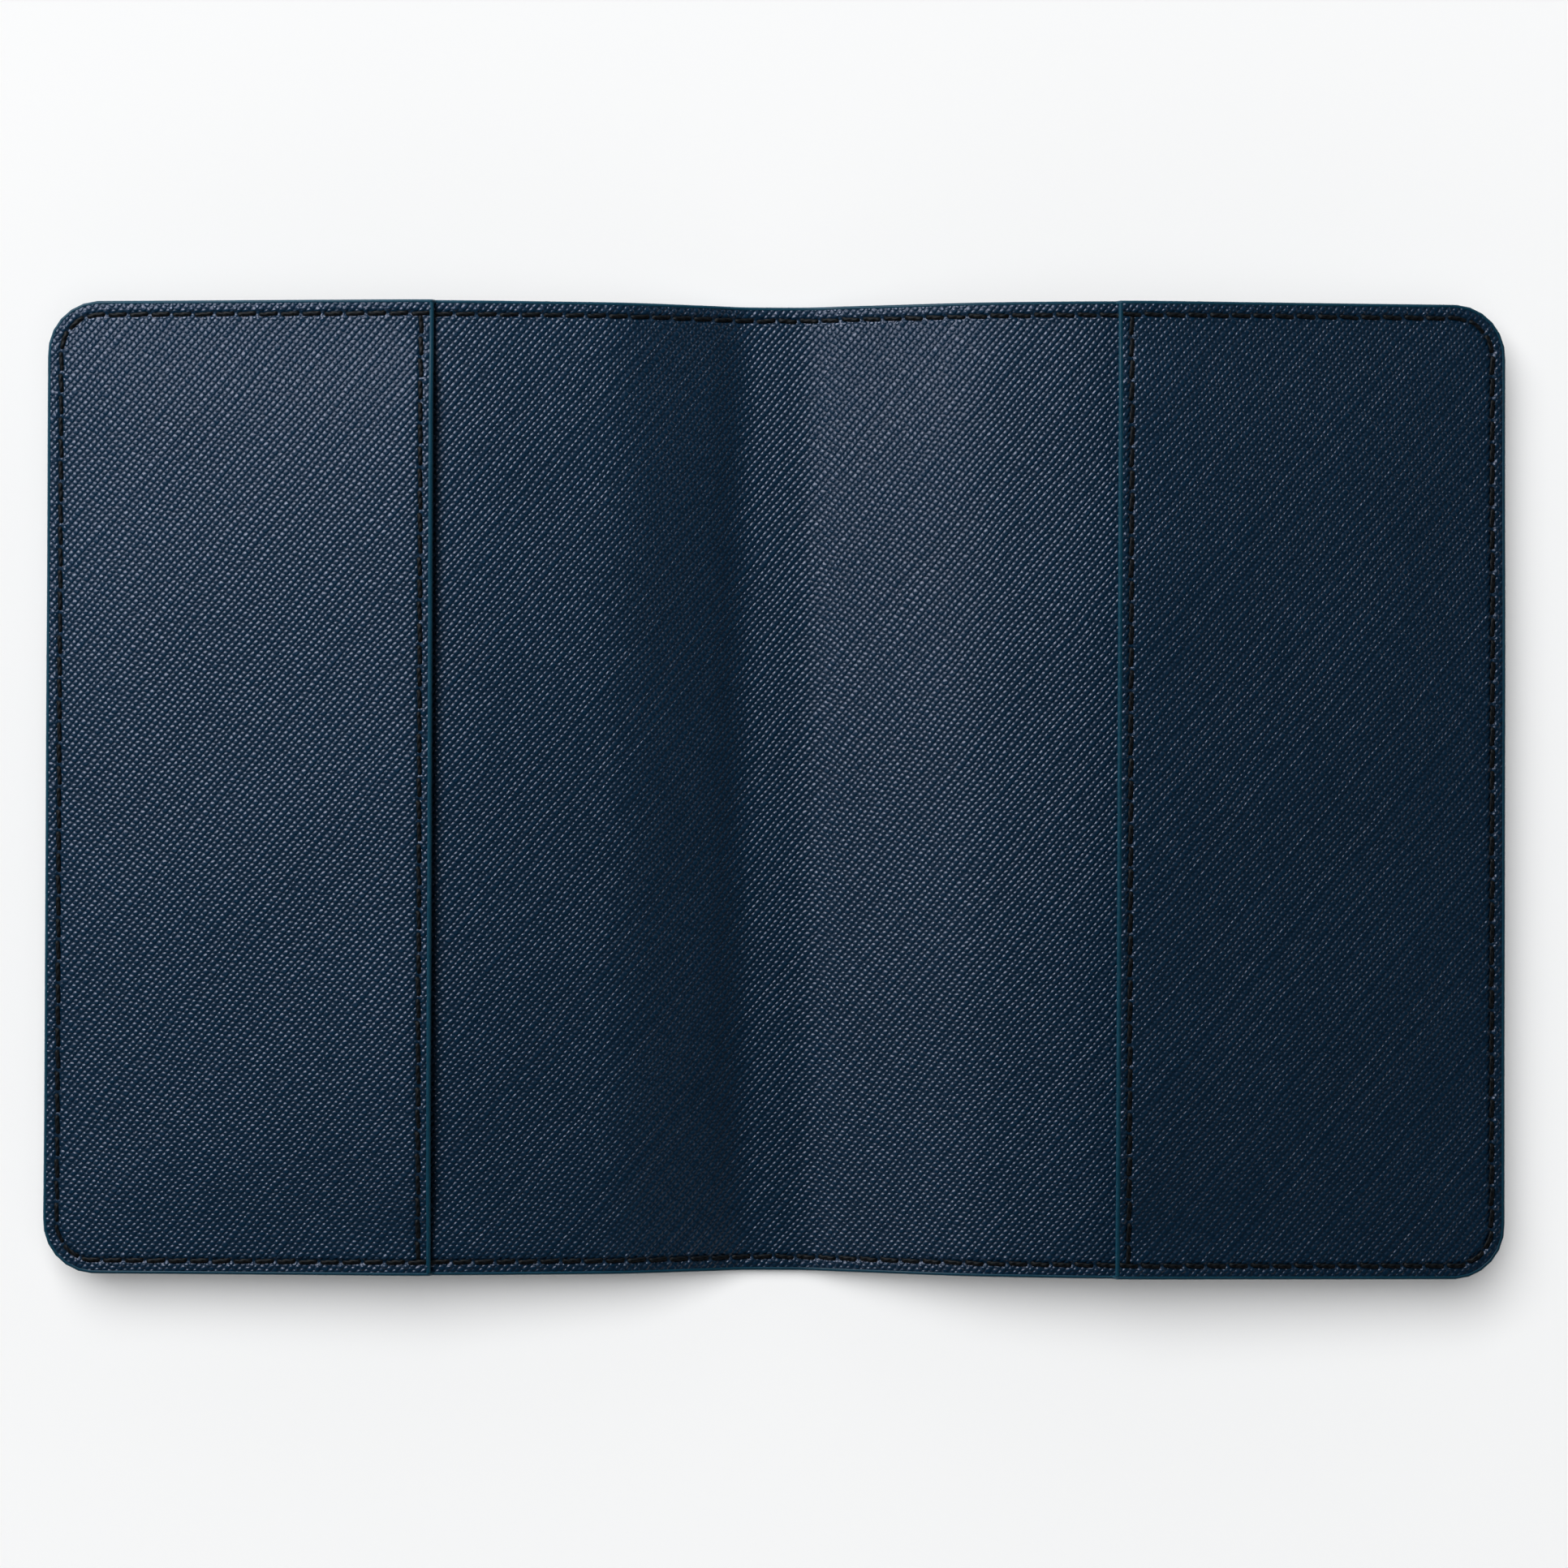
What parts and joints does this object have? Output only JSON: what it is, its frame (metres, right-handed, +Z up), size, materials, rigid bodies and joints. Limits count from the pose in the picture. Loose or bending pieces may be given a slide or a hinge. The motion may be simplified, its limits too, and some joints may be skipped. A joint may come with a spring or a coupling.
{
  "type": "passport holder",
  "caption": "Folding cross-grain leather passport cover lying open, with a stitched pocket in each wing, painted edges and a soft spine fold.",
  "frame": {"origin": "middle of the spine's underside, on the table plane that the open holder rests on", "axes": "+X across the wings towards the right pocket, +Y along the spine towards the top edge, +Z up from the table, towards the inner face"},
  "size_m": [0.2096, 0.14, 0.0128],
  "materials": {
    "cover_leather": "satin",
    "lining_leather": "satin",
    "pocket_leather": "satin",
    "stiffener_board": "matte",
    "backing_fabric": "matte",
    "edge_paint": "satin",
    "thread": "satin"
  },
  "bodies": {
    "spine": {"outer_cover_spine": "cover_leather", "lining_spine": "lining_leather", "edge_paint_spine": "edge_paint", "needle_thread_spine": "thread", "bobbin_thread_spine": "thread"},
    "left_panel": {"outer_cover_left_panel": "cover_leather", "lining_left_panel": "lining_leather", "stiffener_left_panel": "stiffener_board", "edge_paint_left_panel": "edge_paint", "needle_thread_left_panel": "thread", "bobbin_thread_left_panel": "thread"},
    "left_flap": {"outer_cover_left_flap": "cover_leather", "lining_left_flap": "lining_leather", "stiffener_left_flap": "stiffener_board", "pocket_left": "pocket_leather", "pocket_backing_left": "backing_fabric", "edge_paint_left_flap": "edge_paint", "mouth_paint_left": "edge_paint", "needle_thread_left_flap": "thread", "bobbin_thread_left_flap": "thread", "mouth_needle_thread_left": "thread", "mouth_bobbin_thread_left": "thread"},
    "right_panel": {"outer_cover_right_panel": "cover_leather", "lining_right_panel": "lining_leather", "stiffener_right_panel": "stiffener_board", "edge_paint_right_panel": "edge_paint", "needle_thread_right_panel": "thread", "bobbin_thread_right_panel": "thread"},
    "right_flap": {"outer_cover_right_flap": "cover_leather", "lining_right_flap": "lining_leather", "stiffener_right_flap": "stiffener_board", "pocket_right": "pocket_leather", "pocket_backing_right": "backing_fabric", "edge_paint_right_flap": "edge_paint", "mouth_paint_right": "edge_paint", "needle_thread_right_flap": "thread", "bobbin_thread_right_flap": "thread", "mouth_needle_thread_right": "thread", "mouth_bobbin_thread_right": "thread"}
  },
  "joints": [
    {"name": "left_fold", "type": "hinge", "parent": "spine", "child": "left_panel", "pos_m": [-0.005, 0, 0.00165], "axis": [0, 1, 0], "range_deg": [-2.8, 81], "stiffness_Nm_per_rad": 0.02},
    {"name": "left_crest_flex", "type": "hinge", "parent": "left_panel", "child": "left_flap", "pos_m": [-0.0485, 0, 0.01092], "axis": [0, 1, 0], "range_deg": [-0.44, 12.5], "stiffness_Nm_per_rad": 0.02},
    {"name": "right_fold", "type": "hinge", "parent": "spine", "child": "right_panel", "pos_m": [0.005, 0, 0.00165], "axis": [0, -1, 0], "range_deg": [-2.8, 81], "stiffness_Nm_per_rad": 0.02},
    {"name": "right_crest_flex", "type": "hinge", "parent": "right_panel", "child": "right_flap", "pos_m": [0.0485, 0, 0.01092], "axis": [0, -1, 0], "range_deg": [-0.44, 12.5], "stiffness_Nm_per_rad": 0.02}
  ],
  "couplings": [
    {"joint": "left_crest_flex", "follows": "left_fold", "ratio": 0.15432},
    {"joint": "right_crest_flex", "follows": "right_fold", "ratio": 0.15432}
  ]
}
